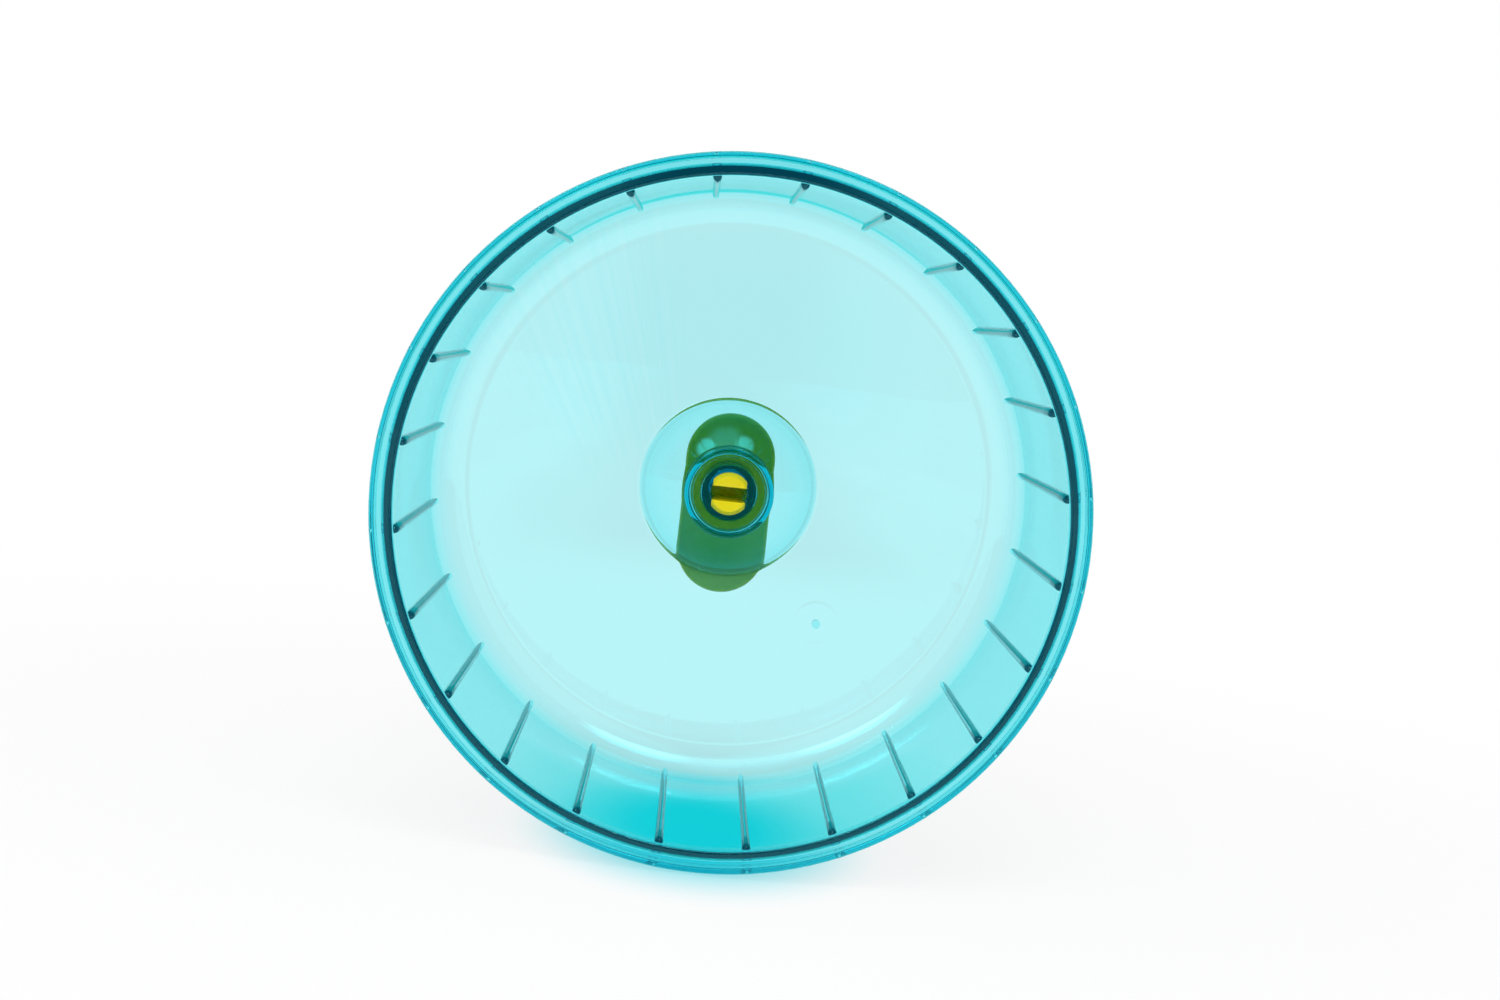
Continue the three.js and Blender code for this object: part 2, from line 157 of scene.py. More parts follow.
# Closer rows where the rungs begin and end: shares of a rung's height at its nose, degrees on the floor's fillet
NOSE_ROWS = (1, 0.65, 0.4, 0.2, 0.08, 0.02, 0)
SINK_START = 33
SINK_TURNS = (32, 31, 29, 26, 21, 14, 7)
FIRST_WALL_ROW = 0.3

# Faces that meet at more than these angles keep a crease between them
DISH_CREASE = math.radians(40)
BRACKET_CREASE = math.radians(35)
BRACKET_BREAK_ANGLE = math.radians(50)

# Cyan plastic: what it lets through, per metre of its density, and the colour of the painted glow that long ways
# through it end in
PLASTIC_COLOUR = (0.02, 0.872, 0.92)
PLASTIC_DENSITY = 575.0
PAINTED_GLOW = (0, 0.047, 0.075)
GLOSS_TINT = (0.3, 1, 1)

# Most that the painted glow's exponent takes, and the inner reflections and faces past which a way ends in the
# painted glow
MOST_FADED = 7.0
GUIDED_REFLECTIONS = 3.5
GUIDED_FACES = 11.5

# Flow of the cyan plastic, in metres: a patch over the axle, and a fan of streaks from a point below it
STREAK_COLOUR = (0.78, 0.97, 0.98)
PATCH_PLACE = (0.002, 0, 0.034)
PATCH_STRETCH = (1, 0, 1.3)
PATCH_EDGE = (0.012, 0.05)
PATCH_DEPTH = 0.35
FAN_PLACE = (0.0024, 0, -0.058)
FAN_TURN = math.radians(22)
FAN_EDGE = (math.radians(6), math.radians(16))
FAN_START = (0.05, 0.075)
FAN_LINES = 11.0
STREAK_DEPTH = 0.3

# Yellow plastic, clear and where its surface is hazy
YELLOW = (0.95, 0.73, 0.003)
HAZY_YELLOW = (0.88, 0.66, 0.002)

# Moulded skin: how each layer of scratches is turned and how fine its noise is each way, and the haze's scale
SCRATCH_LAYERS = (
    ((0.3, 0.5, 0.2), (14, 900, 60)),
    ((0.9, -0.4, 1.1), (900, 11, 70)),
    ((-0.5, 0.2, -0.7), (60, 16, 1100)),
)
SCRATCH_CUT = (0.70, 0.76)
HAZE_SCALE = 45.0

# Light that matt surfaces get from all round, where the camera sees 1
SOFT_LIGHT = 0.5

# Dim room in front of the wheel, for gloss alone: how it darkens with direction, its lamps as an aim, a level
# and a reach in degrees, and its far wall in millimetres
ROOM_EDGE = (-0.45, 0.3)
ROOM_LEVEL = 0.15
ROOM_LAMPS = (
    ((-0.46, -0.62, 0.66), 6.0, 14),
    ((0.21, -0.6, 0.76), 5.5, 13),
    ((-0.12, -0.6, 0.75), 1.8, 26),
)
ROOM_COLOUR = (0.6, 0.97, 1)
ROOM_DISTANCE = 1250
ROOM_REACH = 1100

# Colour of mirrored light that the plastic has let through, level and from above
MIRRORED_TINT = (0.8, 0.99, 0.97)
DEEP_TINT = (0.05, 0.92, 0.87)
DEEP_TINT_EDGE = (0.12, 0.2)

# Camera's stand, in metres: its place across, the edges of the dim strip round it, and of the painted shadow that
# stands for its shade on the table
STAND_PLACE = 0.01
STAND_EDGE = (0.035, 0.12)
STAND_LEVEL = 0.1
PAINTED_STAND_SHADOW = (-0.6, -0.36)

# Table: its reach and its gap under the rim in millimetres, and its colours, matt and under the wheel, where a
# painted pool of cyan light lies
FLOOR_REACH = 3000
FLOOR_GAP = 0.3
SHADOW_MIDDLE = (0, -0.045, 0)
MATT_TABLE = (0.9, 0.9, 0.9)
PAINTED_POOL_MATT = (0.1, 0.66, 0.74)
PAINTED_POOL_GLOW = (0, 0.75, 0.85)

# Lamps, in metres and watts: name, place, size and power; all aim at the wheel's middle
WHEEL_MIDDLE = (0, -0.04, 0)
SOFTBOXES = (
    ("softbox_above", (0.0, -0.52, 0.70), (0.85, 0.3), 3.5),
    ("softbox_front", (-0.15, -0.75, 0.35), (0.35, 0.25), 1.6),
)

# Camera, in millimetres and degrees, with its turns in the order in which they are made
CAMERA_PLACE = (-10.23, -528.16, 40.68)
CAMERA_TURNS = ((-1.2875, "Z"), (-1.8727, "X"), (-6.2, "Y"), (90, "X"))
LENS_LENGTH = 56
SENSOR_WIDTH = 36
LENS_SHIFT = (0.0028, -0.0796)

# Depths and radii that follow
RIM_FRONT = -DISH_DEPTH
WALL_FRONT = RIM_FRONT + LIP_INNER_ROUND[1]
WALL_FRONT_RADIUS = RIM_RADIUS - LIP_REACH
FLOOR_FRONT = -FLOOR
HUB_FRONT = FLOOR_FRONT - HUB_HEIGHT
DISC_FRONT = HUB_FRONT + HUB_CUP_DEPTH
DISC_REAR = DISC_FRONT + HUB_DISC
HUB_INSIDE = HUB_RADIUS - HUB_WALL
BEARING_RADIUS = BORE_RADIUS + BEARING_WALL
DOME_SPHERE = (DOME_RADIUS ** 2 + DOME_RISE ** 2) / (2 * DOME_RISE)
DOME_MIDDLE = FLOOR_FRONT - DOME_RISE + DOME_SPHERE
DISH_PLACE = -(BRACKET_DEPTH + SHOULDER_HEIGHT + END_FLOAT)
RUNG_FRONT = RIM_FRONT + RUNG_SETBACK
RUNG_REAR = FLOOR_FRONT - FLOOR_FILLET + RUNG_RUN_OUT
CAPSULE_RADIUS = BRACKET_WIDTH / 2
CAPSULE_TOP = BRACKET_TOP - CAPSULE_RADIUS
CAPSULE_BOTTOM = BRACKET_TOP - BRACKET_HEIGHT + CAPSULE_RADIUS


# ---- Node trees


def place(tree, kind, inputs=None, **settings):
    """Adds a node, sets it up, and fills its inputs with values or with other nodes' outputs."""
    node = tree.nodes.new(kind)
    for name, value in settings.items():
        setattr(node, name, value)
    for key, value in (inputs or {}).items():
        if isinstance(value, bpy.types.NodeSocket):
            tree.links.new(value, node.inputs[key])
        else:
            node.inputs[key].default_value = value
    return node


def number_step(tree, operation, *values):
    """One step of arithmetic on numbers or other nodes' outputs."""
    return place(tree, "ShaderNodeMath", dict(enumerate(values)), operation=operation).outputs[0]


def vector_step(tree, operation, *values):
    """One step of arithmetic on vectors; a length and a dot product come out as numbers."""
    node = place(tree, "ShaderNodeVectorMath", dict(enumerate(values)), operation=operation)
    return node.outputs["Value" if operation in ("LENGTH", "DOT_PRODUCT") else "Vector"]


def ramp(tree, value, low, high, start=0.0, end=1.0, smooth=True):
    """Carries a value between two limits over to another range, on a soft curve or a straight line."""
    return place(tree, "ShaderNodeMapRange", {
        "Value": value, "From Min": low, "From Max": high, "To Min": start, "To Max": end,
    }, interpolation_type="SMOOTHSTEP" if smooth else "LINEAR").outputs[0]


def blended(tree, factor, first, second, blend_type="MIX"):
    """One colour turned into another by a factor; each is a triple or another node's output."""
    first, second = (c if isinstance(c, bpy.types.NodeSocket) else (*c, 1) for c in (first, second))
    return place(tree, "ShaderNodeMix", {
        "Factor": factor, 6: first, 7: second,
    }, data_type="RGBA", blend_type=blend_type).outputs[2]


def new_tree(name, kind, inputs, outputs):
    """A node tree with named inputs and outputs; an input is (name, type, value)."""
    tree = bpy.data.node_groups.new(name, kind)
    for label, socket_type, value in inputs:
        socket = tree.interface.new_socket(label, in_out="INPUT", socket_type=f"NodeSocket{socket_type}")
        if value is not None:
            socket.default_value = value
    for label, socket_type in outputs:
        tree.interface.new_socket(label, in_out="OUTPUT", socket_type=f"NodeSocket{socket_type}")
    return tree, tree.nodes.new("NodeGroupInput"), tree.nodes.new("NodeGroupOutput")


# ---- The dish's outline, in radius and depth


def wall_radius(depth):
    """Inner radius of the drafted running wall."""
    return WALL_FRONT_RADIUS - (depth - WALL_FRONT) * math.tan(DRAFT)


def arc(radius, depth, across, along, start, end, steps):
    """Points on an elliptical arc between two angles in degrees."""
    points = []
    for i in range(steps + 1):
        angle = math.radians(start + (end - start) * i / steps)
        points.append((radius + across * math.cos(angle), depth + along * math.sin(angle)))
    return points


def eased(before, corner, after, radius, steps=SMALL_STEPS):
    """Points of a small round in place of a corner."""
    corner = Vector(corner)
    back = (Vector(before) - corner).normalized()
    ahead = (Vector(after) - corner).normalized()
    half = back.angle(ahead) / 2
    middle = corner + (back + ahead).normalized() * radius / math.sin(half)
    start = corner + back * radius / math.tan(half) - middle
    end = corner + ahead * radius / math.tan(half) - middle
    turns = [start.normalized().slerp(end.normalized(), i / steps) for i in range(steps + 1)]
    return [tuple(middle + turn * radius) for turn in turns]


def straight(start, end, steps, hold=0.2):
    """Points between two rounds, with a close one at each end that keeps the shading flat."""
    length = math.dist(start, end)
    shares = [hold / length, *(i / steps for i in range(1, steps)), 1 - hold / length]
    return [tuple(Vector(start).lerp(Vector(end), share)) for share in shares]


def joined_up(*parts):
    """Runs of points as one outline, with straights of so many steps between them where a number stands."""
    outline = list(parts[0])
    for steps, part in zip(parts[1::2], parts[2::2]):
        if steps:
            outline += straight(outline[-1], part[0], steps)
        outline += part
    return outline


def dome_front():
    """The neck fillet, the dome and the fillet at its foot."""
    neck, foot = DOME_NECK_FILLET, DOME_FOOT_FILLET
    neck_depth = DOME_MIDDLE - math.sqrt((DOME_SPHERE + neck) ** 2 - (HUB_RADIUS + neck) ** 2)
    foot_depth = FLOOR_FRONT - foot
    foot_radius = math.sqrt((DOME_SPHERE + foot) ** 2 - (DOME_MIDDLE - foot_depth) ** 2)
    to_neck = math.degrees(math.atan2(neck_depth - DOME_MIDDLE, HUB_RADIUS + neck))
    to_foot = math.degrees(math.atan2(foot_depth - DOME_MIDDLE, foot_radius))
    return [
        *arc(HUB_RADIUS + neck, neck_depth, neck, neck, 180, to_neck + 180, NECK_STEPS),
        *arc(0, DOME_MIDDLE, DOME_SPHERE, DOME_SPHERE, to_neck, to_foot, DOME_STEPS)[1:],
        *arc(foot_radius, foot_depth, foot, foot, to_foot + 180, 90, SMALL_STEPS)[1:],
    ]


def floor_corner(radius, floor_depth, wall_offset):
    """The fillet from the floor up to the wall, with closer rows where the rungs sink into it."""
    middle = floor_depth - radius
    across = wall_radius(middle) + (wall_offset - radius) / math.cos(DRAFT)
    turns = [90 - (90 - SINK_START) * i / CORNER_STEPS for i in range(CORNER_STEPS + 1)]
    turns += [*SINK_TURNS, math.degrees(DRAFT)]
    return [arc(across, middle, radius, radius, turn, turn, 1)[0] for turn in turns]


def dome_back():
    """The rounded mouth of the hollow dome and its inside, as far as the hub tube."""
    inside, lip = DOME_SPHERE - DOME_WALL, DOME_MOUTH_ROUND
    mouth = math.sqrt((inside + lip) ** 2 - (DOME_MIDDLE + lip) ** 2)
    to_mouth = math.degrees(math.atan2(-lip - DOME_MIDDLE, mouth))
    to_tube = -math.degrees(math.acos(HUB_INSIDE / inside))
    return [
        *arc(mouth, -lip, lip, lip, 90, to_mouth + 180, SMALL_STEPS),
        *arc(0, DOME_MIDDLE, inside, inside, to_mouth, to_tube, DOME_STEPS)[1:],
    ]


def inside_wall():
    """Rows of the running wall from the floor corner to the lip, closer at the rungs' round noses."""
    nose = [RUNG_FRONT + share * RUNG_HEIGHT for share in NOSE_ROWS]
    start = FLOOR_FRONT - FLOOR_FILLET
    body = [start + (nose[0] - start) * i / WALL_STEPS for i in range(1, WALL_STEPS)]
    return [(wall_radius(depth), depth) for depth in [start - FIRST_WALL_ROW, *body, *nose]]


def lip_front():
    """The broad face of the lip between its inner and its outer round."""
    inner, outer = LIP_INNER_ROUND, LIP_OUTER_ROUND
    return joined_up(
        arc(WALL_FRONT_RADIUS + inner[0], WALL_FRONT, *inner, -180, -90, LIP_STEPS), 3,
        arc(RIM_RADIUS - outer[0], RIM_FRONT + outer[1], *outer, -90, 0, LIP_STEPS),
    )


def lip_back():
    """The end of the lip's leg, and the groove between the leg and the wall."""
    leg_end = RIM_FRONT + LIP_DEPTH
    outside, inside = RIM_RADIUS - LIP_LEG, WALL_FRONT_RADIUS + WALL
    across, deep = GROOVE_ROUND
    roof = RIM_FRONT + LIP_CROWN + deep
    return joined_up(
        eased((RIM_RADIUS, roof), (RIM_RADIUS, leg_end), (outside, leg_end), LEG_ROUND), 0,
        eased((RIM_RADIUS, leg_end), (outside, leg_end), (outside, roof), LEG_ROUND), 3,
        arc(outside - across, roof, across, deep, 0, -90, LIP_STEPS), 0,
        arc(inside + across, roof, across, deep, -90, -180, LIP_STEPS),
    )


def bore_and_cup():
    """From the bore over the bottom of the cup to the front edge of the hub tube."""
    fillet, edge = HUB_CUP_FILLET, HUB_EDGE_ROUND
    return joined_up(
        eased((BORE_RADIUS, 0), (BORE_RADIUS, DISC_FRONT), (HUB_INSIDE, DISC_FRONT), BORE_EDGE_ROUND), 2,
        arc(CUP_RIDGE_RADIUS, DISC_FRONT, CUP_RIDGE, CUP_RIDGE, -180, 0, SMALL_STEPS), 1,
        arc(HUB_INSIDE - fillet, DISC_FRONT - fillet, fillet, fillet, 90, 0, SMALL_STEPS + 2), 0,
        eased((HUB_INSIDE, 0), (HUB_INSIDE, HUB_FRONT), (HUB_RADIUS, HUB_FRONT), edge), 0,
        arc(HUB_RADIUS - edge, HUB_FRONT + edge, edge, edge, -90, 0, SMALL_STEPS),
    )


def bearing_tube():
    """The back of the hub disc and the bearing tube, as far as the bore."""
    return joined_up(
        eased((HUB_INSIDE, 0), (HUB_INSIDE, DISC_REAR), (BEARING_RADIUS, DISC_REAR), HUB_DISC_ROUND), 2,
        eased((HUB_INSIDE, DISC_REAR), (BEARING_RADIUS, DISC_REAR), (BEARING_RADIUS, 0), BEARING_FILLET), 4,
        eased((BEARING_RADIUS, DISC_REAR), (BEARING_RADIUS, 0), (BORE_RADIUS, 0), BORE_EDGE_ROUND), 0,
        [(BORE_RADIUS + BORE_LEAD_IN, 0), (BORE_RADIUS, -BORE_LEAD_IN)],
    )


def dish_outline():
    """The whole section of the dish, from the bore over its front to the lip and back over its rear."""
    corner = floor_corner(FLOOR_FILLET, FLOOR_FRONT, 0)
    back_corner = floor_corner(FLOOR_FILLET + WALL, 0, WALL)[::-1]
    outline = joined_up(
        bore_and_cup(), 4,
        dome_front(), 6,
        corner, 0,
        inside_wall(), 0,
        lip_front(), 2,
        lip_back(), 5,
        back_corner, 5,
        dome_back(), 3,
        bearing_tube(),
    )
    return outline + straight(outline[-1], outline[0], 4)


def rung_at(radius, depth):
    """Half-width of a rung, and its height over the wall or over the fillet, at one row of the outline."""
    along = (depth - RUNG_FRONT) / (RUNG_REAR - RUNG_FRONT)
    sunk = (wall_radius(depth) - radius) / RUNG_HEIGHT
    if not 0 < along < 1 or not sunk < 1:
        return RUNG_LEAST_WIDTH, 0
    nose = min((depth - RUNG_FRONT) / RUNG_HEIGHT, 1)
    full = math.sqrt(1 - (1 - nose) ** 2)
    sunk = max(sunk, 0)
    half_width = RUNG_WIDTH / 2 * (1 + (RUNG_REAR_WIDTH - 1) * along) * full * math.sqrt(1 - sunk ** 2)
    return max(half_width, RUNG_LEAST_WIDTH), RUNG_HEIGHT * full * (1 - sunk)


# ---- Solids from Python rows


def outline_object(name, outline):
    """The dish's outline as loose points that carry the rungs' sizes at their depth."""
    mesh = bpy.data.meshes.new(name)
    mesh.from_pydata([(radius * MM, depth * MM, 0) for radius, depth in outline], [], [])
    outer_start = max(range(len(outline)), key=lambda i: outline[i][0])
    sizes = [rung_at(*p) if i < outer_start else (RUNG_LEAST_WIDTH, 0) for i, p in enumerate(outline)]
    for label, column in (("rung_half_width", 0), ("rung_rise", 1)):
        layer = mesh.attributes.new(label, "FLOAT", "POINT")
        layer.data.foreach_set("value", [size[column] * MM for size in sizes])
    piece = bpy.data.objects.new(name, mesh)
    bpy.context.scene.collection.objects.link(piece)
    return piece


def mesh_object(name, points, faces):
    """Points in millimetres, and faces on them, as an object at the origin."""
    mesh = bpy.data.meshes.new(name)
    mesh.from_pydata([tuple(v * MM for v in p) for p in points], [], faces)
    mesh.update()
    piece = bpy.data.objects.new(name, mesh)
    bpy.context.scene.collection.objects.link(piece)
    return piece


def plain_mesh(piece, name):
    """The piece with its modifiers worked in, as a new object of its own; the old one goes."""
    bpy.context.view_layer.update()
    depsgraph = bpy.context.evaluated_depsgraph_get()
    mesh = bpy.data.meshes.new_from_object(piece.evaluated_get(depsgraph))
    bpy.data.objects.remove(piece)
    mesh.name = name
    finished = bpy.data.objects.new(name, mesh)
    bpy.context.scene.collection.objects.link(finished)
    return finished


# ---- The dish, turned from its outline by a node tree


def turned_dish_tree():
    """Turns an outline round the axle and raises the rungs on the wall, then adds the gate's stub."""
    tree, given, made = new_tree("turned_dish", "GeometryNodeTree", [
        ("Outline", "Geometry", None),
        ("Rung Count", "Int", RUNG_COUNT),
        ("Section Steps", "Int", RUNG_SECTION_STEPS),
        ("Gap Steps", "Int", RUNG_GAP_STEPS),
        ("Turn", "Float", 0.0),
        ("Depth Place", "Float", 0.0),
        ("Gate Radius", "Float", GATE_RADIUS * MM),
        ("Gate Length", "Float", (GATE_STUB + FLOOR / 2) * MM),
        ("Gate Place", "Vector", (0, 0, 0)),
        ("Plastic", "Material", None),
    ], [("Dish", "Geometry")])
    given = given.outputs

    def step(operation, *values):
        return number_step(tree, operation, *values)

    rows = place(tree, "GeometryNodeAttributeDomainSize", {"Geometry": given["Outline"]}).outputs["Point Count"]
    steps = step("ADD", given["Section Steps"], given["Gap Steps"])
    columns = step("MULTIPLY", given["Rung Count"], steps)
    grid = place(tree, "GeometryNodeMeshGrid", {
        "Size X": 1.0,
        "Size Y": 1.0,
        "Vertices X": step("ADD", columns, 1),
        "Vertices Y": step("ADD", rows, 1),
    }).outputs["Mesh"]
    spot = place(tree, "GeometryNodeInputPosition").outputs[0]
    here = place(tree, "ShaderNodeSeparateXYZ", {0: spot}).outputs
    column = step("ROUND", step("MULTIPLY", step("ADD", here["X"], 0.5), columns))
    row = step("MODULO", step("ROUND", step("MULTIPLY", step("ADD", here["Y"], 0.5), rows)), rows)

    def sampled(value, data_type):
        return place(tree, "GeometryNodeSampleIndex", {
            "Geometry": given["Outline"], "Value": value, "Index": row,
        }, data_type=data_type, domain="POINT").outputs[0]

    def named(label):
        return place(tree, "GeometryNodeInputNamedAttribute", {"Name": label}, data_type="FLOAT").outputs[0]

    profile = place(tree, "ShaderNodeSeparateXYZ", {0: sampled(spot, "FLOAT_VECTOR")}).outputs
    half_width = sampled(named("rung_half_width"), "FLOAT")
    rise = sampled(named("rung_rise"), "FLOAT")

    # Across a rung the columns follow its half-round section; between rungs they spread out
    within = step("MODULO", column, steps)
    on_rung = step("LESS_THAN", within, step("ADD", given["Section Steps"], 0.5))
    section = step("DIVIDE", within, given["Section Steps"])
    swing = step("MULTIPLY", section, math.pi)
    edge = step("DIVIDE", half_width, step("MAXIMUM", profile["X"], BORE_RADIUS * MM / 2))
    edge = step("MINIMUM", edge, RUNG_WIDEST_EDGE)
    pitch = step("DIVIDE", 2 * math.pi, given["Rung Count"])
    gap = step("DIVIDE", step("SUBTRACT", within, given["Section Steps"]), given["Gap Steps"])
    spread = ramp(tree, gap, 0.0, 1.0, edge, step("SUBTRACT", pitch, edge))
    across = step("MULTIPLY", step("MULTIPLY", step("COSINE", swing), -1), edge)
    raised = step("MULTIPLY", step("MULTIPLY", step("SINE", swing), rise), on_rung)
    local = place(tree, "ShaderNodeMix", {"Factor": on_rung, 2: spread, 3: across}, data_type="FLOAT").outputs[0]
    rung_number = step("FLOOR", step("DIVIDE", column, steps))
    angle = step("SUBTRACT", step("ADD", step("MULTIPLY", rung_number, pitch), local), given["Turn"])
    radius = step("SUBTRACT", profile["X"], raised)
    turned = place(tree, "ShaderNodeCombineXYZ", {
        "X": step("MULTIPLY", radius, step("SINE", angle)),
        "Y": step("ADD", profile["Y"], given["Depth Place"]),
        "Z": step("MULTIPLY", radius, step("COSINE", angle)),
    }).outputs[0]
    skin = place(tree, "GeometryNodeSetPosition", {"Geometry": grid, "Position": turned}).outputs[0]
    closed = place(tree, "GeometryNodeMergeByDistance", {"Geometry": skin, "Distance": 1e-6}).outputs[0]
    stub = place(tree, "GeometryNodeMeshCylinder", {
        "Vertices": ROUND_SIDES, "Radius": given["Gate Radius"], "Depth": given["Gate Length"],
    }).outputs["Mesh"]
    stub = place(tree, "GeometryNodeTransform", {
        "Geometry": stub, "Translation": given["Gate Place"], "Rotation": (math.pi / 2, 0, 0),
    }).outputs[0]
    union = place(tree, "GeometryNodeMeshBoolean", operation="UNION", solver="MANIFOLD")
    tree.links.new(closed, union.inputs["Mesh 2"])
    tree.links.new(stub, union.inputs["Mesh 2"])
    smooth = place(tree, "GeometryNodeSetShadeSmooth", {
        "Geometry": union.outputs["Mesh"], "Shade Smooth": True,
    }, domain="FACE").outputs[0]
    bend = place(tree, "GeometryNodeInputMeshEdgeAngle").outputs["Unsigned Angle"]
    creased = place(tree, "GeometryNodeSetShadeSmooth", {
        "Geometry": smooth, "Selection": step("GREATER_THAN", bend, DISH_CREASE), "Shade Smooth": False,
    }, domain="EDGE").outputs[0]
    real = place(tree, "GeometryNodeRealizeInstances", {"Geometry": creased}).outputs[0]
    painted = place(tree, "GeometryNodeSetMaterial", {"Geometry": real, "Material": given["Plastic"]}).outputs[0]
    tree.links.new(painted, made.inputs["Dish"])
    return tree


def gate_place(depth):
    """Where the gate's axis is at a depth, in metres."""
    angle = GATE_ANGLE + REST_TURN
    return Vector((GATE_FROM_AXLE * math.cos(angle), depth, GATE_FROM_AXLE * math.sin(angle))) * MM


def running_dish(plastic):
    """The dish as one closed mesh, turned to the rungs' place in the photograph."""
    blank = outline_object("dish_outline", dish_outline())
    tree = turned_dish_tree()
    shaping = blank.modifiers.new("turned_dish", "NODES")
    shaping.node_group = tree
    middle = DISH_PLACE + GATE_STUB - (GATE_STUB + FLOOR / 2) / 2
    values = {
        "Turn": REST_TURN,
        "Depth Place": DISH_PLACE * MM,
        "Gate Place": gate_place(middle),
        "Plastic": plastic,
    }
    for socket in tree.interface.items_tree:
        if socket.in_out == "INPUT" and socket.name in values:
            shaping[socket.identifier] = values[socket.name]
    return plain_mesh(blank, "see_through_dish")


# ---- The bracket, from solids that are joined and cut


def loft(name, rings):
    """A closed skin through rings of points with the same count."""
    count = len(rings[0])
    faces = [tuple(range(count))[::-1], tuple((len(rings) - 1) * count + i for i in range(count))]
    for row in range(len(rings) - 1):
        for i in range(count):
            a, b = row * count + i, row * count + (i + 1) % count
            faces.append((a, b, b + count, a + count))
    return mesh_object(name, [p for ring in rings for p in ring], faces)


def capsule_ring(inset, depth, steps=28):
    """The bracket's capsule outline at a depth, drawn in by an inset."""
    radius = CAPSULE_RADIUS - inset
    top = arc(0, CAPSULE_TOP, radius, radius, 0, 180, steps)
    bottom = arc(0, CAPSULE_BOTTOM, radius, radius, 180, 360, steps)
    return [(x, depth, z) for x, z in top + bottom]


def turned(name, outline, steps=TURNED_STEPS):
    """A solid of revolution about Y, from an outline that starts and ends on the axis."""
    rows = outline[1:-1]
    points = [(0, outline[0][1], 0), (0, outline[-1][1], 0)]
    for radius, depth in rows:
        for i in range(steps):
            angle = 2 * math.pi * i / steps
            points.append((radius * math.sin(angle), depth, radius * math.cos(angle)))
    faces = []
    for i in range(steps):
        j = (i + 1) % steps
        last = 2 + (len(rows) - 1) * steps
        faces.append((0, 2 + j, 2 + i))
        faces.append((1, last + i, last + j))
        for row in range(len(rows) - 1):
            a, b = 2 + row * steps + i, 2 + row * steps + j
            faces.append((a, b, b + steps, a + steps))
    return mesh_object(name, points, faces)


def block(name, low, high):
    """A box between two opposite corners."""
    points = [(x, y, z) for x in (low[0], high[0]) for y in (low[1], high[1]) for z in (low[2], high[2])]
    faces = [(0, 1, 3, 2), (4, 6, 7, 5), (0, 4, 5, 1), (2, 3, 7, 6), (0, 2, 6, 4), (1, 5, 7, 3)]
    return mesh_object(name, points, faces)


def drawn_along_x(name, outline, width):
    """An outline in depth and height, drawn out over a width centred on the axle."""
    rings = [[(x, y, z) for y, z in outline] for x in (-width / 2, width / 2)]
    return loft(name, rings)


def facing_out(piece):
    """Turns every face outwards by the sign of the volume."""
    mesh = piece.data
    volume = 0.0
    for face in mesh.polygons:
        corners = [mesh.vertices[i].co for i in face.vertices]
        for b, c in zip(corners[1:], corners[2:]):
            volume += corners[0].dot(b.cross(c))
    if volume < 0:
        mesh.flip_normals()
    return piece


def combined(base, operation, *tools):
    """The base joined with, cut by or kept inside the tools."""
    facing_out(base)
    for tool in tools:
        facing_out(tool)
        work = base.modifiers.new(operation, "BOOLEAN")
        work.operation = operation
        work.solver = "MANIFOLD"
        work.object = tool
    name = base.name
    result = plain_mesh(base, name)
    for tool in tools:
        bpy.data.objects.remove(tool)
    return result


def hook_outline():
    """The upper finger, which hooks over a cage bar."""
    root = -BRACKET_DEPTH + BRACKET_FACE / 2
    behind = 2 * BAR_SEAT
    back = behind + HOOK_THICKNESS
    seat = UPPER_BAR + BAR_SEAT
    crown = seat + HOOK_THICKNESS
    tip = seat - HOOK_DROP
    return [
        (root, seat),
        *eased((root, seat), (behind, seat), (behind, tip), HOOK_SEAT_ROUND),
        *eased((behind, seat), (behind, tip), (back, tip), FINGER_EDGE),
        *eased((behind, tip), (back, tip), (back, crown), FINGER_EDGE),
        *eased((back, tip), (back, crown), (root, crown), FINGER_EDGE * 2),
        (root, crown),
    ]


def clip_outline(side):
    """One of the two lower fingers, above (1) or below (-1) a cage bar, with a barb behind the bar."""
    root = -BRACKET_DEPTH + BRACKET_FACE / 2
    barb = BAR_SEAT + BAR_RADIUS
    tip = barb + CLIP_TIP
    outside = BAR_SEAT + CLIP_THICKNESS
    corners = [
        (BAR_SEAT, BAR_SEAT), (barb, BAR_SEAT - CLIP_BARB), (tip, outside - FINGER_EDGE),
        (tip, outside), (root, outside),
    ]
    outline = [(root, BAR_SEAT), (BAR_SEAT * 0.7, BAR_SEAT)]
    for before, corner, after, radius in zip(corners, corners[1:], corners[2:], CLIP_ROUNDS):
        outline += eased(before, corner, after, radius)
    outline.append((root, outside))
    return [(depth, LOWER_BAR + side * height) for depth, height in outline]


def axle_outline(head_front):
    """The shoulder, the shaft and the snap head, before the head is split."""
    root = -BRACKET_DEPTH + BRACKET_FACE / 2
    shoulder = -BRACKET_DEPTH - SHOULDER_HEIGHT
    catch_rear = head_front + HEAD_HEIGHT
    catch = SHAFT_RADIUS + HOOK_CATCH
    corners = [
        (0, root), (SHOULDER_RADIUS, root), (SHOULDER_RADIUS, shoulder), (SHAFT_RADIUS, shoulder),
        (SHAFT_RADIUS, catch_rear), (catch, catch_rear), (catch, catch_rear - HOOK_LAND),
        (catch - HEAD_TAPER, head_front), (0, head_front),
    ]
    outline = []
    for i, (corner, radius) in enumerate(zip(corners, AXLE_ROUNDS)):
        if radius:
            outline += eased(corners[i - 1], corner, corners[i + 1], radius)
        else:
            outline.append(corner)
    return outline


